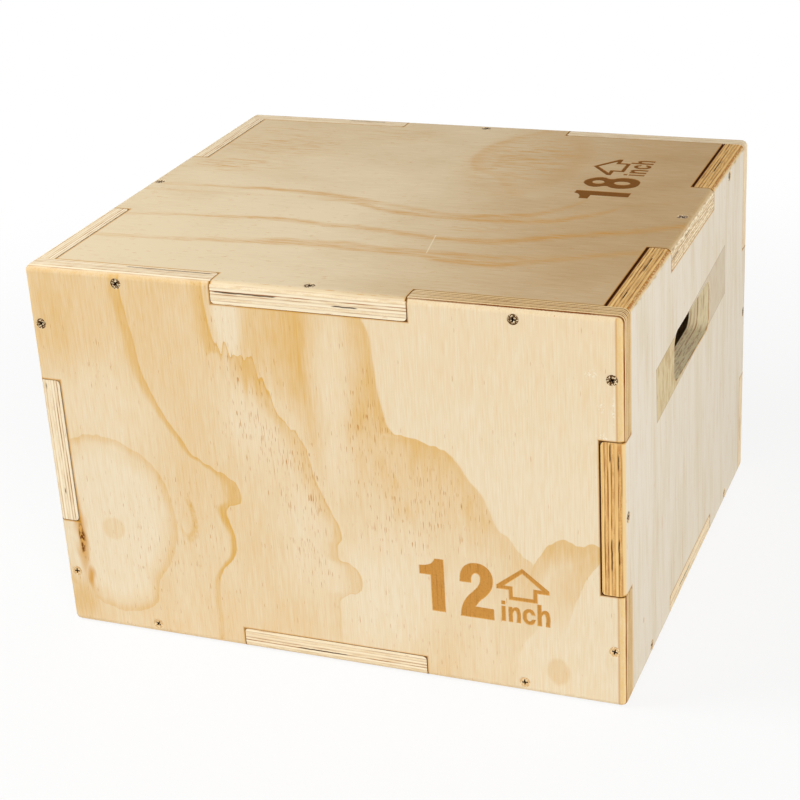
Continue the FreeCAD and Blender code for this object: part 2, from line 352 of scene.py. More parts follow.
# Each mark: its outline, the left end of its base line and its scale
FRONT_MARKS = (
    (ONE, (73.8, 59), 1.0), (TWO, (104.5, 58.2), 1.0), (ARROW, (133, 77.5), 1.0),
    (LETTER_I, (136.2, 59), 1.0), (LETTER_N, (141.6, 59), 1.0), (LETTER_C, (152.2, 59), 1.0),
    (LETTER_H, (163.4, 59), 1.05),
)
TOP_MARKS = (
    (ONE, (27.1, -168.5), 1.0), (EIGHT, (55, -169.2), 1.0), (ARROW, (87, -149.3), 1.05),
    (LETTER_I, (89, -167.6), 1.0), (LETTER_N, (95, -167.6), 1.08), (LETTER_C, (107, -167.6), 1.08),
    (LETTER_H, (119.2, -167.6), 1.08),
)
# Half height of the upright part of a cutter, and how far above the face its taper starts
CUTTER_HALF = 1.0
CUTTER_CLEARANCE = 0.02
# Corners of a panel closer than this, in metres, are joined before the cut; edges over this angle stay sharp
WELD_REACH = 0.00001
SHARP_ANGLE = math.radians(30)
# Directions of a mark's base line, its upright and its outward side
FRONT_MARK_AXES = (Vector((1, 0, 0)), Vector((0, 0, 1)), Vector((0, -1, 0)))
TOP_MARK_AXES = (Vector((0, 1, 0)), Vector((-1, 0, 0)), Vector((0, 0, 1)))


def tone(red, green, blue):
    """Colour for a shader from its 0 to 255 levels on a screen."""
    def linear(level):
        share = level / 255
        return share / 12.92 if share <= 0.04045 else ((share + 0.055) / 1.055) ** 2.4

    return (linear(red), linear(green), linear(blue), 1.0)


def swatch(name, description, *levels):
    """Property for a colour, given in screen levels."""
    return FloatVectorProperty(name=name, description=description, default=tone(*levels), subtype="COLOR",
                               size=4, min=0, max=1)


def length(name, description, default):
    """Property for a length in metres."""
    return FloatProperty(name=name, description=description, default=default, min=0, unit="LENGTH",
                         precision=5)


def power(name, description, default):
    """Property for the power of a lamp in watts."""
    return FloatProperty(name=name, description=description, default=default, min=0, unit="POWER")


def direction(name, description, default):
    """Property for a direction in the part's frame."""
    return FloatVectorProperty(name=name, description=description, default=default, subtype="DIRECTION")


class PlywoodSettings(PropertyGroup):
    """Sheet that the six panels are cut from."""

    plies: IntProperty(name="Plies", description="Veneers glued into one sheet", default=7, min=3, max=15)
    pale: swatch("Pale wood", "Early wood of the front and back veneers", 241, 226, 197)
    late: swatch("Late wood", "Dark part of each growth ring in those veneers", 222, 174, 90)
    top_pale: swatch("Pale top wood", "Early wood of the top and bottom veneers", 234, 215, 180)
    top_late: swatch("Late top wood", "Dark part of the rings in the top and bottom", 172, 126, 58)
    side_pale: swatch("Pale side wood", "Early wood of the two side veneers", 231, 221, 203)
    side_late: swatch("Late side wood", "Dark part of the rings in the side veneers", 214, 194, 160)
    core: swatch("Core wood", "Plies inside a pale sheet", 252, 238, 207)
    end_grain: swatch("End grain", "Cut ends of the plies in a pale sheet", 221, 184, 130)
    brown_core: swatch("Brown core wood", "Plies inside the sheet of the right side", 248, 206, 136)
    brown_end: swatch("Brown end grain", "Cut ends of the plies in that sheet", 180, 108, 36)
    ring: swatch("Orange rings", "Growth rings of the top veneer", 205, 150, 72)
    routed: swatch("Routed edge", "Face veneer where the router cut it at a slant", 234, 196, 126)
    glue: swatch("Glue line", "Resin between two plies", 126, 66, 14)
    pale_glue: swatch("Pale glue line", "Resin between the plies of a pale sheet", 164, 98, 34)
    resin: swatch("Resin canals", "Short dashes in the face veneers", 198, 134, 58)
    knot: swatch("Knot", "Orange wood around the knot and the joints", 212, 150, 44)
    heart: swatch("Knot heart", "Dark middle of that knot", 108, 56, 8)
    patch: swatch("Patch", "Veneer let in around the right hand slot", 214, 194, 150)
    grey_patch: swatch("Grey patch", "Rear end of that patch", 203, 186, 158)
    # Partly painted light: pale cut wood, made paler still to stand in for the light on the slot walls
    slot: swatch("Slot wood", "Walls of the right hand slot, freshly cut", 255, 242, 204)
    patch_grain: swatch("Patch grain", "Brown mottling of that patch", 178, 144, 96)
    scuff: swatch("Scuff", "Whitish rubbed spots on the front", 252, 246, 230)
    # Painted shade: the dark colour of an open gap in the core stands in for the shade inside it
    gap: swatch("Core gap", "Open joint inside a ply, seen at an edge", 54, 26, 4)
    # Browned joint edges, also painted as shade inside the joints and where fingers meet the top
    joint_burn_and_shade: swatch("Joint edge", "Edges of the finger joints, browned by the saw", 78, 36, 4)


class MarkSettings(PropertyGroup):
    """Height marks that a laser burnt into the front and the top."""

    burnt: swatch("Burnt wood", "Floor of the marks on the front", 206, 148, 72)
    top_burnt: swatch("Burnt wood on top", "Floor of the marks on the top", 130, 85, 38)
    scorched: swatch("Scorched rim", "Sloping rim around the marks on the front", 222, 172, 96)
    top_scorched: swatch("Scorched rim on top", "Sloping rim around the marks on the top", 168, 122, 70)
    depth: length("Burn depth", "How far the marks lie below the face", 0.0003)
    rim: length("Rim width", "Width of the sloping rim around the marks", 0.0005)


class ScrewSettings(PropertyGroup):
    """Countersunk screws that hold the panels together."""

    plating: swatch("Plating", "Dulled bronze plating of the upper heads", 98, 66, 32)
    fresh: swatch("Fresh plating", "Yellow plating of the lower heads", 222, 184, 132)
    # Painted highlight: bright flecks on the heads that stand in for glints of light
    painted_highlight: swatch("Painted highlight", "Bright flecks painted on the heads as highlights", 250, 228, 186)
    # Painted shade: the dark colour of each screw's cross recess and of the rim around its head
    hollow_shade: swatch("Recess shade", "Painted shade in the recess and around the head", 42, 22, 6)


class StudioSettings(PropertyGroup):
    """Camera, lamps and floor."""

    eye: FloatVectorProperty(name="Camera place", description="Where the camera stands", unit="LENGTH",
                             subtype="TRANSLATION", default=(0.52388, -1.30808, 0.77120))
    gaze: direction("Camera direction", "Direction of view", (-0.34812, 0.84111, -0.41393))
    camera_up: direction("Camera up", "Upper side of the picture", (-0.10067, 0.40546, 0.90855))
    lens: FloatProperty(name="Lens", description="Focal length on a 36 mm sensor, in millimetres",
                        default=84.15, min=1, subtype="DISTANCE_CAMERA")
    key_power: power("Key lamp", "Large lamp at the right front, for the front and the slot", 40)
    side_power: power("Side lamp", "Large lamp at the right, for the side", 13.5)
    window_power: power("Window lamp", "Nearer lamp at the left, for the top", 15)
    sky: FloatProperty(name="Room light", description="Even light from all around", default=0.28, min=0)


def adjust(thing, **settings):
    """Sets several values of a thing and returns it."""
    for name, value in settings.items():
        setattr(thing, name, value)
    return thing


def add_object(name, data):
    """New object in the scene."""
    body = bpy.data.objects.new(name, data)
    bpy.context.scene.collection.objects.link(body)
    return body


def math_node(operation):
    """Python operator that adds one Math node."""
    def apply(self, *others):
        return self.finish.math(operation, self, *others)

    return apply


class Wire:
    """A shader socket in a Python expression; each operator adds one Math node."""

    def __init__(self, finish, socket):
        self.finish = finish
        self.socket = socket

    __add__ = __radd__ = math_node("ADD")
    __mul__ = __rmul__ = math_node("MULTIPLY")
    __sub__ = math_node("SUBTRACT")
    __truediv__ = math_node("DIVIDE")
    __mod__ = math_node("FLOORED_MODULO")
    __pow__ = math_node("POWER")
    __lt__ = math_node("LESS_THAN")
    __gt__ = math_node("GREATER_THAN")
    __abs__ = math_node("ABSOLUTE")
    at_least = math_node("MAXIMUM")
    at_most = math_node("MINIMUM")
    floor = math_node("FLOOR")

    def __rsub__(self, other):
        return self.finish.math("SUBTRACT", other, self)

    def rise(self, low, high):
        """Smooth step from 0 at low to 1 at high."""
        return self.finish.node("MapRange", {"interpolation_type": "SMOOTHSTEP"},
                                {"Value": self, "From Min": low, "From Max": high})

    def fall(self, low, high):
        """Smooth step from 1 at low to 0 at high."""
        return self.rise(high, low)

    def within(self, low, high, soft):
        """1 between low and high and 0 outside, soft on both sides of each."""
        return self.rise(low - soft, low + soft) * self.fall(high - soft, high + soft)

    def tint(self, share, other):
        """This colour with a share of another one."""
        return self.finish.mix(share, self, other)

    def unit(self):
        """Held between 0 and 1."""
        return self.finish.node("Clamp", values={"Value": self})


def most(wires):
    """The largest of several values."""
    return reduce(Wire.at_least, wires)


class Nodes:
    """The nodes of one tree, put together by expressions."""

    def __init__(self, tree):
        self.tree = tree

    def node(self, kind, settings=None, values=None, output=0):
        """Adds a node, sets it up, feeds its sockets and returns one output, or several for a tuple."""
        node = adjust(self.tree.nodes.new("ShaderNode" + kind), **(settings or {}))
        for socket, value in (values or {}).items():
            self.feed(node.inputs[socket], value)
        if isinstance(output, tuple):
            return tuple(Wire(self, node.outputs[name]) for name in output)
        return Wire(self, node.outputs[output])

    def feed(self, socket, value):
        if isinstance(value, Wire):
            self.tree.links.new(value.socket, socket)
        else:
            socket.default_value = value

    def math(self, operation, *values):
        return self.node("Math", {"operation": operation}, dict(enumerate(values)))

    def mix(self, share, first, second):
        """Colour between two colours; sockets 6 and 7 and output 2 of a Mix node are its colours."""
        return self.node("Mix", {"data_type": "RGBA"}, {0: share, 6: first, 7: second}, 2)

    def split(self, vector):
        return self.node("SeparateXYZ", values={0: vector}, output=("X", "Y", "Z"))

    def place(self):
        """The three coordinates of a point of the part, in millimetres."""
        metres = self.node("TexCoord", output="Object")
        scaled = self.node("VectorMath", {"operation": "SCALE"}, {0: metres, "Scale": 1 / MM})
        return self.split(scaled)

    def noise(self, x, y, z=0.0, detail=0.0, roughness=0.5):
        """Cloudy value around 0.5 at a point given in noise cells."""
        point = self.node("CombineXYZ", values={"X": x, "Y": y, "Z": z})
        return self.node("TexNoise", {"noise_dimensions": "3D"},
                         {"Vector": point, "Scale": 1.0, "Detail": detail, "Roughness": roughness}, "Fac")

    def curve(self, value, points):
        """Level of a drawn curve at a value; the points are pairs of value and level."""
        first, last = points[0][0], points[-1][0]
        levels = [level for _, level in points]
        low, span = min(levels), max(levels) - min(levels)
        drawn = [((place - first) / (last - first), (level - low) / span) for place, level in points]
        share = ((value - first) / (last - first)).unit()
        result = self.node("FloatCurve", values={"Value": share})
        mapping = result.socket.node.mapping
        handles = mapping.curves[0].points
        handles[0].location, handles[-1].location = drawn[0], drawn[-1]
        for place in drawn[1:-1]:
            handles.new(*place)
        for handle in handles:
            handle.handle_type = "AUTO_CLAMPED"
        mapping.update()
        return result * span + low

    def seen_directly(self):
        """Share that is 1 for the rays that show a background: from the camera, gloss and glass."""
        return most(self.node("LightPath",
                              output=("Is Camera Ray", "Is Glossy Ray", "Is Transmission Ray")))


class Finish(Nodes):
    """A node material with a Principled shader."""

    def __init__(self, name):
        self.material = bpy.data.materials.new(name)
        self.material.use_nodes = True
        super().__init__(self.material.node_tree)
        self.shader = self.tree.nodes["Principled BSDF"]

    def bump(self, height, strength):
        """Normal of a surface that rises by a height in millimetres."""
        return self.node("Bump", values={"Strength": strength, "Distance": MM, "Height": height},
                         output="Normal")

    def show(self, **sockets):
        """Feeds the Principled shader; an underscore in a name stands for a space."""
        for name, value in sockets.items():
            self.feed(self.shader.inputs[name.replace("_", " ")], value)
        return self.material


def ring_band(along, across, ring):
    """Share of late wood in a ring that ends in an edge and fades over the soft part of its reach."""
    finish = along.finish
    inside = finish.curve(along, ring.edge) - across
    fade = (1 - inside / finish.curve(along, ring.reach)).rise(0, ring.soft)
    fade = fade + ring.line * inside.fall(0.8, 3)
    return fade * inside.rise(0, ring.crisp) * finish.curve(along, ring.strength)


def spot(along, across, middle, half_along, half_across, soft=0.2):
    """Round or oval spot: 1 inside and 0 outside, soft at its rim."""
    offset_along = (along - middle[0]) / half_along
    offset_across = (across - middle[1]) / half_across
    distance = (offset_along * offset_along + offset_across * offset_across) ** 0.5
    return distance.fall(1 - soft, 1 + soft)


def front_figure(finish, z, x):
    """Figure of the front veneer: three rings, a stripe, a lobe, an oval and small spots."""
    teeth = finish.noise(x / 2.4, z / 30, 1.5) - 0.5
    sway = finish.noise(x / 15, z / 38, 4.5) - 0.5
    flames = finish.noise(x / 4.5, z / 60, 8.5) - 0.5
    x = x + 1.4 * teeth + 2.5 * sway
    z = z + (3 + 22 * spot(z, x, (232, -45), 42, 40, 0.5)) * flames
    left_of_third = (finish.curve(z, FRONT_RINGS[-1].edge) - x).rise(-2, 3)
    cloud = finish.noise(x / 42, z / 120, 14.5, 1)
    mottle = finish.noise(x / 20, z / 42, 23.5, 1).rise(0.45, 0.72)
    mottle = mottle * spot(z, x, (165, 66), 70, 66, 0.5)
    late = left_of_third * (0.19 + 0.23 * z.rise(110, 265) + 0.5 * (cloud - 0.5) + 0.24 * mottle) + 0.13
    late = late + 0.1 * z.rise(150, 280) * (1 - left_of_third)
    for share, *place in FRONT_PALE_SPOTS:
        late = late * (1 - share * spot(z, x, *place))

    bands = [ring_band(z, x, ring) for ring in FRONT_RINGS]
    lobe = (finish.curve(x, FRONT_LOBE_TOP) - z).at_most(finish.curve(z, FRONT_LOBE_SIDE) - x)
    bands.append(lobe.rise(0, 1.0) * lobe.fall(4, 40) * finish.curve(z, FRONT_LOBE_STRENGTH))
    rise, run = z - FRONT_OVAL_MIDDLE[0], x - FRONT_OVAL_MIDDLE[1]
    angle = finish.math("ARCTAN2", rise, run) * math.degrees(1)
    oval = finish.curve(angle, FRONT_OVAL_EDGE) - (rise * rise + run * run) ** 0.5
    late = late * (1 - 0.65 * oval.rise(3, 22))
    bands.append(oval.rise(0, 1.2) * oval.fall(1, 9) * (0.1 + 0.5 * cloud))
    for share, *place in FRONT_DARK_SPOTS:
        bands.append(share * spot(z, x, *place))
    knot_rim = spot(z, x, (106, -114), 18, 7.5) - spot(z, x, (108, -116), 15, 5)
    bands.append(knot_rim * (1.1 * finish.noise(x / 3, z / 4, 27.1, 1) - 0.1))

    canals = most(share * spot(z, x, *place, 0.7) for share, *place in FRONT_DASHES)
    clusters = finish.noise(x / 18, z / 40, 6.1, 1).rise(0.35, 0.65)
    return Figure(late + (1 - late) * most(bands), left_of_third * canals * (0.55 + 0.45 * clusters))


def top_figure(finish, x, y):
    """Figure of the top veneer: long feathered rings, groups of short streaks and an eye near the back."""
    wave = finish.noise(x / 30, y / 34, 2.5, 1) - 0.5
    feather = finish.noise(x / 20, y / 1.5, 5.5, 1) - 0.5
    streak = finish.noise(x / 19, y / 1.4, 9.5, 1)
    y = y + 4 * wave + 9 * feather
    half_width = finish.curve(x, TOP_HALF_WIDTHS)
    rings = most((abs(y - finish.curve(x, middle)) / half_width).fall(0.1, 1.6) * finish.curve(x, strength)
                 for middle, strength in TOP_RINGS)
    rings = rings * (0.45 + 0.75 * streak.rise(0.38, 0.62))
    for share, *place in TOP_STREAKS:
        rings = rings.at_least(share * spot(x, y, *place, 0.6) * streak.rise(0.48, 0.66))
    from_edge = x + 8 * wave - finish.curve(y, TOP_EYE_EDGE)
    side = from_edge.rise(-3, 6) * from_edge.fall(5, 24) * finish.curve(y, TOP_EYE_STRENGTH)
    eye = spot(x, y, (64, 112), 48, 86, 0.2)
    rim = eye - spot(x, y, (62, 110), 40, 76, 0.3)
    rings = rings.at_least(side * (0.4 + 0.6 * streak.rise(0.35, 0.6))).at_least(0.25 * rim)
    cloud = finish.noise(x / 60, y / 38, 12.5, 1) - 0.5
    # Painted shade: more late wood towards the right end and the back, where light falls off
    right_end = 0.62 * x.rise(-80, 200) * (1 - 0.15 * y.fall(-190, -50))
    # The cloud added here is the wood's own uneven tone
    base = right_end.at_least(0.19 * y.rise(-120, 160)) + 0.24 * cloud
    return Figure(base + 0.06 * eye, 0.25, rings.unit())


def side_figure(finish, z, y, seed):
    """Figure of a side veneer: narrow, faint, straight streaks."""
    y = y + z / 26
    broad = finish.noise(y / 18, z / 150, seed, 1).rise(0.4, 0.75)
    narrow = finish.noise(y / 3, z / 70, seed + 3, 1).rise(0.45, 0.8)
    return Figure(broad * 0.34 + narrow * 0.36, 0.15 * broad)


def plain_figure(finish, along, across, spacing, seed):
    """Figure of a veneer out of the photograph's view: rings that wander across the sheet."""
    drift = finish.noise(across / 110, along / 260, seed, 2, 0.45)
    teeth = finish.noise(across / 3, along / 34, seed + 2) - 0.5
    ring = (across + 330 * (drift - 0.5) + 4 * teeth) / spacing % 1.0
    shade = finish.noise(across / 60, along / 150, seed + 5).rise(0.3, 0.7)
    late = (ring ** 2.6) * ring.fall(0.96, 1.0) * (0.35 + 0.5 * shade)
    return Figure(late, 0.6 * shade)


def dress(node, material):
    """Gives a CAD node its finish in place of the plain one it came with."""
    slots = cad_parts[node].data.materials
    slots.clear()
    slots.append(material)


def finish_panel(node, wood, stock, figure, details=None):
    """Plywood of one panel, as a solid: face veneer with its figure, plies, glue lines and gaps."""
    board = BOARDS[node]
    low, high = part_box(node)
    sheet = (high[board.through] - low[board.through]) / MM
    outer_face = (high if board.side > 0 else low)[board.through] / MM
    ply = sheet / wood.plies
    finish = Finish(node + "_plywood")
    place = finish.place()
    facing = finish.split(finish.node("NewGeometry", output="Normal"))
    along, across = place[board.along], place[board.across]
    depth = (outer_face - place[board.through]) * board.side

    # Which ply a point is in, and how its fibres run there
    wander = 0.5 * (finish.noise(along / 50, across / 50, 3.7) - 0.5)
    layer = (depth + wander) / ply
    number = layer.floor().at_least(0).at_most(wood.plies - 1)
    crossed = number % 2
    run = along + crossed * (across - along)
    width = across + crossed * (along - across) + number * 41.3
    face_ply = abs(depth - sheet / 2) > sheet / 2 - ply
    outer_ply = depth < ply
    cut_along, cut_across = abs(facing[board.along]), abs(facing[board.across])
    end_cut = (cut_along + crossed * (cut_across - cut_along)).rise(0.4, 0.95)

    # Colour of the wood
    fibre = finish.noise(width / 0.9, depth / 0.9, run / 26, 1, 0.6)
    streak = finish.noise(width / 5, depth / 5, run / 150, 1)
    blotch = finish.noise(width / 3.5, depth / 3.5, run / 13, 1)
    grain = stock.grain * (0.16 * (streak - 0.5) + 0.7 * (fibre - 0.5) + 0.28 * (blotch - 0.5))
    core_tone = finish.noise(width / 9, depth / 1.6, run / 140, 1).rise(0.38, 0.75)
    figured = figure(finish, along, across)
    veneer = finish.mix((figured.late + grain).unit(), stock.pale, stock.late)
    veneer = veneer.tint(figured.rings, wood.ring)
    core = finish.mix((core_tone * 0.4 + 0.3 * (fibre - 0.5)).unit(), stock.core, stock.end)
    flat = abs(facing[board.through])
    colour = finish.mix(face_ply * flat.rise(0.35, 0.9), core, veneer)
    least = 0.79 - 0.19 * figured.canals
    canal = finish.noise(width / 0.6, depth / 0.6, run / 9).rise(least, least + 0.08) * face_ply
    colour = colour.tint(canal * 0.8, wood.resin)
    slanted = flat.fall(0.92, 0.992) * outer_ply
    colour = colour.tint(slanted * (stock.routed * (0.6 + 0.8 * (streak - 0.2))).unit(), wood.routed)
    pores = finish.noise(width / 0.8, depth / 0.8, run / 5, 1, 0.7)
    torn = finish.noise(along / 14, across / 14, depth / 0.5, 1, 0.6)
    ends = (pores + 1.3 * torn - 0.7) * finish.curve(depth, stock.ends)
    colour = colour.tint((end_cut * ends).unit(), stock.end)

    # Glue lines between the plies, and gaps in the core, painted dark as the shade inside them
    nearest = (layer + 0.5).floor().at_least(1).at_most(wood.plies - 1)
    resinous = finish.noise(along / 22, across / 22, nearest * 5.3, 1).rise(0.36, 0.66)
    glue = (abs(layer - nearest) * ply).fall(0.12, 0.62) * (0.35 + 0.65 * resinous)
    colour = colour.tint(glue * finish.curve(depth, stock.glues), stock.glue)
    folded_along = abs(along - (low[board.along] + high[board.along]) / 2 / MM)
    folded_across = abs(across)
    ragged = depth + 1.1 * (finish.noise(along / 7, across / 7, 21.7, 1) - 0.5)
    gap = most(abs(ragged - gap_depth).fall(0.3, 0.65)
               * (across if course == ACROSS else along).within(start, end, 2)
               for gap_depth, course, start, end in stock.gaps)
    near_edge = folded_along.rise(*GAP_ZONE_ALONG).at_least(folded_across.rise(*GAP_ZONE_ACROSS))
    gap = gap * near_edge * (0.25 + 1.2 * torn).unit()
    colour = colour.tint(gap, wood.gap)
    if details:
        colour = details(finish, wood, along, across, depth, colour)

    # Edges of the finger joints: browned with painted shade, darker towards the right and inside the joints
    # Strength of the browned edges and painted shade at the joints
    hollow_shade = 0.35 if board.through == X else 0.9
    burn_and_shade = hollow_shade * (0.3 * streak + 0.2 + 0.65 * place[X].rise(-170, 120))
    burn_and_shade = burn_and_shade.at_least(flat.fall(0.3, 0.6)).unit()
    for place_along, end_along, place_across, end_across in JOINTS[board.through]:
        line_along = (place_along - folded_along) * end_along
        line = line_along.at_least((place_across - folded_across) * end_across)
        colour = colour.tint(line.fall(0.3, 2.0) * outer_ply * (0.6 + 0.3 * streak), wood.knot)
        colour = colour.tint(line.fall(0.3, 0.85) * outer_ply * burn_and_shade, wood.joint_burn_and_shade)

    roughness = 0.64 + 0.25 * (fibre - 0.5) - 0.08 * figured.late.unit() + 0.2 * end_cut
    bump = finish.bump(0.05 * fibre + 0.1 * end_cut * pores - 0.6 * gap, 0.6)
    finish.show(Base_Color=colour, Roughness=roughness, Normal=bump, Specular_IOR_Level=WOOD_GLOSS)
    dress(node, finish.material)


def burnt_wood(name, colour, wood, along):
    """Floor of a burnt mark: brown, with darker lines where the grain runs."""
    finish = Finish(name)
    place = finish.place()
    shares = [place[axis] / (30 if axis == along else 1.0) for axis in (X, Y, Z)]
    grain = finish.noise(*shares, 2, 0.6)
    mottle = finish.noise(place[X] / 1.6, place[Y] / 1.6, place[Z] / 1.6, 1)
    shade = finish.mix(grain.rise(0.5, 0.8) * 0.5 + mottle.rise(0.45, 0.8) * 0.2, colour, wood.glue)
    return finish.show(Base_Color=shade, Roughness=0.75 + 0.15 * mottle,
                       Normal=finish.bump(0.08 * grain, 0.5), Specular_IOR_Level=WOOD_GLOSS)


def front_details(finish, wood, z, x, depth, colour):
    """Knot streak of the front, and its right edge, which the router browned."""
    on_face = depth < 1.0
    ragged = x + 5 * (finish.noise(x / 4, z / 14, 31.1) - 0.5)
    knot = most(spot(z, ragged, *place) for place in FRONT_KNOTS)
    heart = spot(z, ragged, (76, -211), 13, 2.1, 0.5)
    heart = heart * finish.noise(x / 2.2, z / 4, 71.3, 1).rise(0.4, 0.56)
    colour = colour.tint(knot * on_face * 0.85, wood.knot)
    colour = colour.tint(heart * on_face, wood.heart)
    scuff = most(spot(z, x, *place, 0.7) for place in FRONT_SCUFFS)
    chips = finish.noise(x / 1.3, z / 1.6, 51.7, 1).rise(0.5, 0.6)
    colour = colour.tint(scuff * chips * on_face * 0.6, wood.scuff)

    grain = finish.noise(x / 1.4, depth / 0.7, z / 16, 1)
    specks = finish.noise(x / 1.2, depth / 1.2, z / 2.5, 1)
    rim_line = HALF_WIDTH - ROUNDED_EDGE
    right_end = x.rise(rim_line - 0.3, rim_line + 0.5)
    top_end = z.rise(HEIGHT - 5.8, HEIGHT - 3.8) * x.rise(-20, 150)
    golden = right_end.at_least(top_end * depth.rise(2.0, 2.5))
    golden = golden * (0.3 + 0.7 * grain + 0.7 * (specks - 0.5)).unit()
    colour = colour.tint(golden, wood.routed)
    rim = abs(x - rim_line).fall(0.3, 1.0) * depth.fall(1.0, 2.0)
    colour = colour.tint(0.5 * rim, wood.resin)
    lines = most(share * abs(depth - line_depth + 0.7 * (grain - 0.5)).fall(0.25, 0.95)
                 for line_depth, share in FRONT_EDGE_LINES)
    broken = (0.4 + finish.noise(z / 25, x / 25, 61.3, 1)).unit()
    return colour.tint(lines * right_end.at_least(top_end) * broken, wood.glue)


def top_details(finish, wood, x, y, depth, colour):
    """One long scratch on the top, and the torn side of its right tab."""
    (start_x, start_y), (end_x, end_y) = TOP_SCRATCH
    drift = (y - start_y) / (end_y - start_y)
    scratch = abs(x - start_x - (end_x - start_x) * drift).fall(0.2, 0.7)
    scratch = scratch * drift.rise(-0.05, 0.02) * drift.fall(0.95, 1.02)
    colour = colour.tint(scratch * (depth < 1.0) * 0.45, wood.core)
    torn = finish.noise(y / 6, depth / 1.1, 37.9, 2, 0.6).rise(0.4, 0.66)
    tab_side = x.rise(HALF_WIDTH - 2.1, HALF_WIDTH - 0.6) * depth.rise(1.5, 2.5)
    return colour.tint(tab_side * torn * 0.7, wood.patch_grain)


def right_details(finish, wood, z, y, depth, colour):
    """Tilted veneer patch around the hand slot, the pale wood in the slot and the crumbled upper ends."""
    outer = depth < 2.4
    from_y, from_z = y - PATCH_MIDDLE[1], z - PATCH_MIDDLE[0]
    local_y = from_y * math.cos(PATCH_TILT) + from_z * math.sin(PATCH_TILT)
    local_z = from_z * math.cos(PATCH_TILT) - from_y * math.sin(PATCH_TILT)
    half_length, half_height = PATCH_HALF
    patch = abs(local_y).fall(half_length, half_length + 1)
    patch = patch * abs(local_z).fall(half_height, half_height + 0.6)
    inner = abs(local_y).fall(half_length - 1, half_length)
    seam = patch - inner * abs(local_z).fall(half_height - 0.7, half_height - 0.1)
    front_end = local_y.fall(-60, 20)
    mottle = finish.noise(local_y / 5, local_z / 14, 17.3, 2, 0.6).rise(0.42, 0.7)
    veneer = finish.mix(front_end, wood.grey_patch, wood.patch)
    colour = colour.tint(patch * outer * (0.55 + 0.3 * front_end), veneer)
    colour = colour.tint(patch * outer * mottle * (0.2 + 0.35 * front_end), wood.patch_grain)
    colour = colour.tint(seam * outer * 0.3, wood.glue)
    for share, *place in RIGHT_FLECKS:
        colour = colour.tint(spot(z, y, *place, 0.6) * outer * share, wood.resin)

    # Walls of the slot: pale wood with painted light, worn streaks, broken dark lines and a browned rim
    half_length, half_height = SLOT_HALF
    in_slot = abs(y).fall(half_length, half_length + 0.7) * depth.rise(0.2, 0.6)
    in_slot = in_slot * abs(z - SLOT_HEIGHT).fall(half_height, half_height + 0.7)
    floor = z.fall(SLOT_HEIGHT - 19.4, SLOT_HEIGHT - 17.1)
    colour = colour.tint(in_slot * 0.94, wood.slot)
    rough = finish.noise(y / 9, depth / 0.9, z / 9, 2, 0.65)
    worn = ((1.6 + 1.6 * floor) * (rough - 0.5)).unit()
    colour = colour.tint(in_slot * worn, wood.patch_grain)
    lines = depth.rise(0.2, 0.5) * depth.fall(0.8, 1.5) * 0.7
    for line_depth, share in SLOT_LINES:
        lines = lines.at_least(share * abs(depth - line_depth + 1.2 * (rough - 0.5)).fall(0.2, 0.9))
    broken = finish.noise(y / 12, z / 12, depth / 4, 1).rise(0.3, 0.55)
    colour = colour.tint(in_slot * lines * broken, wood.brown_end)

    # Upper ends of the fingers: mottled, crumbled at the outer rim and dark where they meet the top
    top_end = z.rise(HEIGHT - 5.3, HEIGHT - 3.3)
    fibres = finish.noise(y / 11, depth / 0.8, 91.7, 2, 0.6)
    crumbs = finish.noise(y / 3, depth / 1.4, 83.1, 2, 0.6)
    colour = colour.tint(top_end * fibres.rise(0.48, 0.68) * 0.6, wood.patch_grain)
    rim = top_end * depth.rise(0.6, 1.4) * depth.fall(2.2, 3.2)
    colour = colour.tint(rim * crumbs.rise(0.36, 0.56) * 0.8, wood.brown_end)
    # Painted shade with browning: the joint colour where the fingers meet the top
    return colour.tint(top_end * depth.rise(15.5, 16.2), wood.joint_burn_and_shade)


def pale_stock(wood):
    """Pale sheet that the front is cut from."""
    return Stock(wood.pale, wood.late, 0.8, wood.core, wood.end_grain, PALE_ENDS, wood.pale_glue, FRONT_GLUES,
                 0.12, FRONT_GAPS)


class PLYO_OT_front_panel(Operator):
    """Finish the front panel with its drawn ring figure"""

    bl_idname = "plyo.front_panel"
    bl_label = "Front panel"

    def execute(self, context):
        wood = context.scene.plyo_plywood
        finish_panel("front_panel", wood, pale_stock(wood), front_figure, front_details)
        return {"FINISHED"}


class PLYO_OT_back_panel(Operator):
    """Finish the back panel with rings of its own"""

    bl_idname = "plyo.back_panel"
    bl_label = "Back panel"

    def execute(self, context):
        wood = context.scene.plyo_plywood
        stock = pale_stock(wood)._replace(grain=1.0, routed=0.3, gaps=BACK_GAPS)
        finish_panel("back_panel", wood, stock, partial(plain_figure, spacing=62, seed=71.3))
        return {"FINISHED"}


class PLYO_OT_side_panels(Operator):
    """Finish the two side panels with straight, pale grain"""

    bl_idname = "plyo.side_panels"
    bl_label = "Side panels"

    def execute(self, context):
        wood = context.scene.plyo_plywood
        left = pale_stock(wood)._replace(pale=wood.side_pale, late=wood.side_late, grain=1.0,
                                         glues=LEFT_GLUES, routed=0.3, gaps=LEFT_GAPS)
        right = left._replace(core=wood.brown_core, end=wood.brown_end, ends=RIGHT_ENDS, glue=wood.glue,
                              glues=RIGHT_GLUES, routed=0.8, gaps=RIGHT_GAPS)
        finish_panel("left_panel", wood, left, partial(side_figure, seed=15.2))
        finish_panel("right_panel", wood, right, partial(side_figure, seed=52.8), right_details)
        return {"FINISHED"}


def top_stock(wood):
    """Sheet that the top is cut from, darker than the front's."""
    return pale_stock(wood)._replace(pale=wood.top_pale, late=wood.top_late, grain=0.45, glues=TOP_GLUES,
                                     gaps=TOP_GAPS)


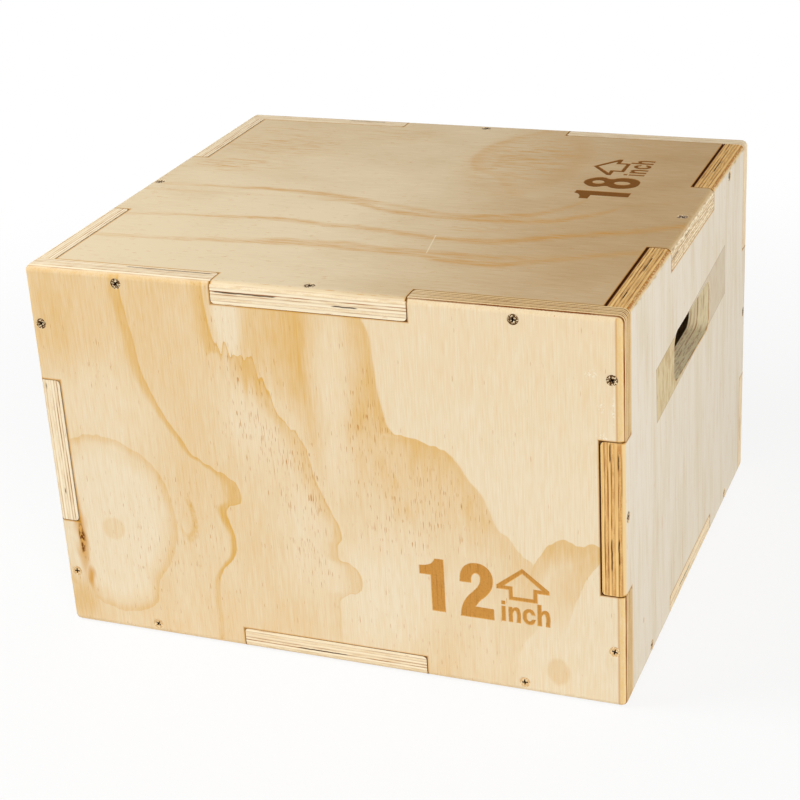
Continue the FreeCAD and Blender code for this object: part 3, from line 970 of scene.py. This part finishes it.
class PLYO_OT_top_panel(Operator):
    """Finish the top panel with its long shallow rings"""

    bl_idname = "plyo.top_panel"
    bl_label = "Top panel"

    def execute(self, context):
        wood = context.scene.plyo_plywood
        finish_panel("top_panel", wood, top_stock(wood), top_figure, top_details)
        return {"FINISHED"}


class PLYO_OT_bottom_panel(Operator):
    """Finish the bottom panel with rings of its own"""

    bl_idname = "plyo.bottom_panel"
    bl_label = "Bottom panel"

    def execute(self, context):
        wood = context.scene.plyo_plywood
        stock = top_stock(wood)._replace(grain=0.6, routed=0.3, gaps=BOTTOM_GAPS)
        finish_panel("bottom_panel", wood, stock, partial(plain_figure, spacing=70, seed=33.9))
        return {"FINISHED"}


class PLYO_OT_screws(Operator):
    """Finish the screws in dulled yellow plating"""

    bl_idname = "plyo.screws"
    bl_label = "Screws"

    def execute(self, context):
        screw = context.scene.plyo_screws
        finish = Finish("screw_plating")
        x, y, z = finish.place()
        from_side, from_front = HALF_WIDTH - abs(x), HALF_DEPTH - abs(y)
        sunk = from_side.at_most(from_front).at_most(HEIGHT / 2 - abs(z - HEIGHT / 2))
        cloud = finish.noise(x / 1.3, y / 1.3, z / 1.3, 2, 0.6)
        dulled = z.rise(60, 130).at_least(0.6 * abs(x).rise(HALF_WIDTH - 4.1, HALF_WIDTH - 2.1))
        colour = finish.mix(dulled, screw.fresh, screw.plating)
        # Painted highlight: bright flecks spread by noise over each head
        colour = colour.tint(cloud.rise(0.5, 0.6) * 0.9, screw.painted_highlight)
        # Painted shade: the cross recess and the rim around the head, deeper than its face, turn dark
        colour = colour.tint(sunk.rise(0.22, 0.5), screw.hollow_shade)
        material = finish.show(Base_Color=colour, Metallic=0.7, Roughness=0.3 + 0.3 * cloud,
                               Specular_IOR_Level=SCREW_GLOSS)
        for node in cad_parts:
            if "_screw_" in node:
                dress(node, material)
        return {"FINISHED"}


class PLYO_OT_height_marks(Operator):
    """Burn the height marks into the front and the top"""

    bl_idname = "plyo.height_marks"
    bl_label = "Height marks"

    def execute(self, context):
        wood, burn = context.scene.plyo_plywood, context.scene.plyo_marks
        front_face, top_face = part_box("front_panel")[0].y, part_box("top_panel")[1].z
        finishes = (burnt_wood("burnt_front", burn.burnt, wood, Z),
                    burnt_wood("scorched_front", burn.scorched, wood, Z))
        face = Vector((0, front_face, 0))
        self.burn(context, "front_panel", FRONT_MARKS, FRONT_MARK_AXES, face, finishes)
        finishes = (burnt_wood("burnt_top", burn.top_burnt, wood, X),
                    burnt_wood("scorched_top", burn.top_scorched, wood, X))
        face = Vector((0, 0, top_face))
        self.burn(context, "top_panel", TOP_MARKS, TOP_MARK_AXES, face, finishes)
        return {"FINISHED"}

    def burn(self, context, node, marks, axes, face, finishes):
        """Cuts the marks into a panel with a hidden cutter that carries the finishes of floor and rim."""
        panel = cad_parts[node]
        mesh = self.cutter_mesh(context, node, marks, axes, face)
        for finish in finishes:
            panel.data.materials.append(finish)
            mesh.materials.append(finish)
        cutter = adjust(add_object(node + "_mark_cutter", mesh), hide_render=True)
        adjust(panel.modifiers.new("joined_corners", "WELD"), merge_threshold=WELD_REACH)
        adjust(panel.modifiers.new("burnt_marks", "BOOLEAN"), operation="DIFFERENCE", solver="EXACT",
               use_self=True, material_mode="TRANSFER", object=cutter)
        adjust(panel.modifiers.new("sharp_corners", "EDGE_SPLIT"), split_angle=SHARP_ANGLE)
        panel.modifiers.new("even_shading", "WEIGHTED_NORMAL")

    @staticmethod
    def cutter_mesh(context, node, marks, axes, face):
        """Solid of all marks of one face: upright above the face and tapered below it."""
        burn = context.scene.plyo_marks
        curve = adjust(bpy.data.curves.new(node + "_mark_outlines", "CURVE"), dimensions="2D",
                       fill_mode="BOTH", resolution_u=5, extrude=CUTTER_HALF, bevel_depth=burn.rim / MM,
                       bevel_resolution=0)
        for loops, shift, scale in marks:
            for loop in loops:
                spline = curve.splines.new("BEZIER")
                spline.bezier_points.add(len(loop) - 1)
                for point, (x, y, handle) in zip(spline.bezier_points, loop):
                    point.co = (shift[0] + scale * x, shift[1] + scale * y, 0)
                    point.handle_left_type = handle
                    point.handle_right_type = handle
                spline.use_cyclic_u = True
        drawing = add_object(curve.name, curve)
        mesh = bpy.data.meshes.new_from_object(drawing.evaluated_get(context.evaluated_depsgraph_get()))
        bpy.data.objects.remove(drawing)
        bpy.data.curves.remove(curve)

        solid = bmesh.new()
        solid.from_mesh(mesh)
        bmesh.ops.remove_doubles(solid, verts=solid.verts, dist=0.001)
        bmesh.ops.recalc_face_normals(solid, faces=solid.faces)
        for part in solid.faces:
            part.material_index = 0 if part.normal.z < -0.99 else 1
        solid.to_mesh(mesh)
        solid.free()
        # The taper starts a hair above the face, so that no ring of the cutter lies in the face itself
        flatten = burn.depth / burn.rim
        lift = (CUTTER_HALF * flatten + CUTTER_CLEARANCE) * MM
        across, up, outward = axes
        turn = Matrix((across * MM, up * MM, outward * MM * flatten)).transposed().to_4x4()
        mesh.transform(Matrix.Translation(face + outward * lift) @ turn)
        return mesh


class PLYO_OT_stage(Operator):
    """Set up the floor, the lamps, the white surround and the camera"""

    bl_idname = "plyo.stage"
    bl_label = "Stage"

    def execute(self, context):
        scene = context.scene
        studio = scene.plyo_studio
        scene.view_settings.view_transform = "Standard"
        self.surround(scene, studio)
        self.floor()
        middle = (CAD_LOW + CAD_HIGH) / 2
        top_left = middle + Vector((-0.1, 0, 0.15))
        self.lamp("key_lamp", (1.7, -2.35, 1.35), middle, 1.3, studio.key_power)
        self.lamp("side_lamp", (2.2, 0.3, 0.4), middle, 1.2, studio.side_power)
        self.lamp("window_lamp", (-1.0, -0.55, 1.3), top_left, 0.8, studio.window_power)
        self.camera(scene, studio)
        return {"FINISHED"}

    @staticmethod
    def surround(scene, studio):
        """White to look at, with a gentler light of its own."""
        world = bpy.data.worlds.new("white_surround")
        scene.world = world
        world.use_nodes = True
        nodes = Nodes(world.node_tree)
        light = nodes.node("Background",
                           values={"Color": (1.0, 0.985, 0.96, 1.0), "Strength": studio.sky})
        white = nodes.node("Background", values={"Color": (1.0, 1.0, 1.0, 1.0), "Strength": 1.0})
        blend = nodes.node("MixShader", values={0: nodes.seen_directly(), 1: light, 2: white})
        nodes.feed(nodes.tree.nodes["World Output"].inputs["Surface"], blend)

    @staticmethod
    def floor():
        """Pale floor that keeps the shadow of the box and turns white away from it."""
        half, level = 6.0, -0.0002
        corners = [(-half, -half, level), (half, -half, level), (half, half, level), (-half, half, level)]
        mesh = bpy.data.meshes.new("studio_floor")
        mesh.from_pydata(corners, [], [(0, 1, 2, 3)])
        body = add_object("studio_floor", mesh)
        finish = Finish("studio_floor")
        finish.show(Base_Color=(0.86, 0.86, 0.86, 1.0), Roughness=0.9)
        glow = finish.node("Emission", values={"Strength": 1.0})
        matt = Wire(finish, finish.shader.outputs[0])
        x, y, _ = finish.place()
        whiteness = 0.85 + 0.15 * ((x * x + y * y) ** 0.5).rise(420, 1100)
        share = finish.seen_directly() * whiteness
        blend = finish.node("MixShader", values={0: share, 1: matt, 2: glow})
        finish.feed(finish.tree.nodes["Material Output"].inputs["Surface"], blend)
        mesh.materials.append(finish.material)

    @staticmethod
    def lamp(name, place, target, size, watts):
        light = adjust(bpy.data.lights.new(name, "AREA"), shape="DISK", size=size, energy=watts)
        turn = (target - Vector(place)).to_track_quat("-Z", "Y")
        adjust(add_object(name, light), location=place, rotation_euler=turn.to_euler())

    @staticmethod
    def camera(scene, studio):
        lens = adjust(bpy.data.cameras.new("camera"), lens=studio.lens, sensor_width=36.0, clip_end=50.0)
        back = -Vector(studio.gaze).normalized()
        right = Vector(studio.camera_up).cross(back).normalized()
        turn = Matrix((right, back.cross(right), back)).transposed().to_4x4()
        place = Matrix.Translation(Vector(studio.eye)) @ turn
        scene.camera = adjust(add_object("camera", lens), matrix_world=place)


class PLYO_PT_box(Panel):
    """Steps that finish the box, in order"""

    bl_idname = "PLYO_PT_box"
    bl_label = "Plyo box"
    bl_space_type = "VIEW_3D"
    bl_region_type = "UI"
    bl_category = "Plyo box"

    def draw(self, context):
        for step in STEPS:
            self.layout.operator(step.bl_idname)


SETTINGS = {
    "plyo_plywood": PlywoodSettings,
    "plyo_marks": MarkSettings,
    "plyo_screws": ScrewSettings,
    "plyo_studio": StudioSettings,
}
STEPS = (
    PLYO_OT_front_panel,
    PLYO_OT_back_panel,
    PLYO_OT_side_panels,
    PLYO_OT_top_panel,
    PLYO_OT_bottom_panel,
    PLYO_OT_screws,
    PLYO_OT_height_marks,
    PLYO_OT_stage,
)
CLASSES = (*SETTINGS.values(), *STEPS, PLYO_PT_box)


def register():
    for cls in CLASSES:
        bpy.utils.register_class(cls)
    for name, group in SETTINGS.items():
        setattr(bpy.types.Scene, name, PointerProperty(type=group))


def unregister():
    for name in SETTINGS:
        delattr(bpy.types.Scene, name)
    for cls in reversed(CLASSES):
        bpy.utils.unregister_class(cls)


def main():
    register()
    bpy.ops.plyo.front_panel()
    bpy.ops.plyo.back_panel()
    bpy.ops.plyo.side_panels()
    bpy.ops.plyo.top_panel()
    bpy.ops.plyo.bottom_panel()
    bpy.ops.plyo.screws()
    bpy.ops.plyo.height_marks()
    bpy.ops.plyo.stage()


if __name__ == "__main__":
    main()
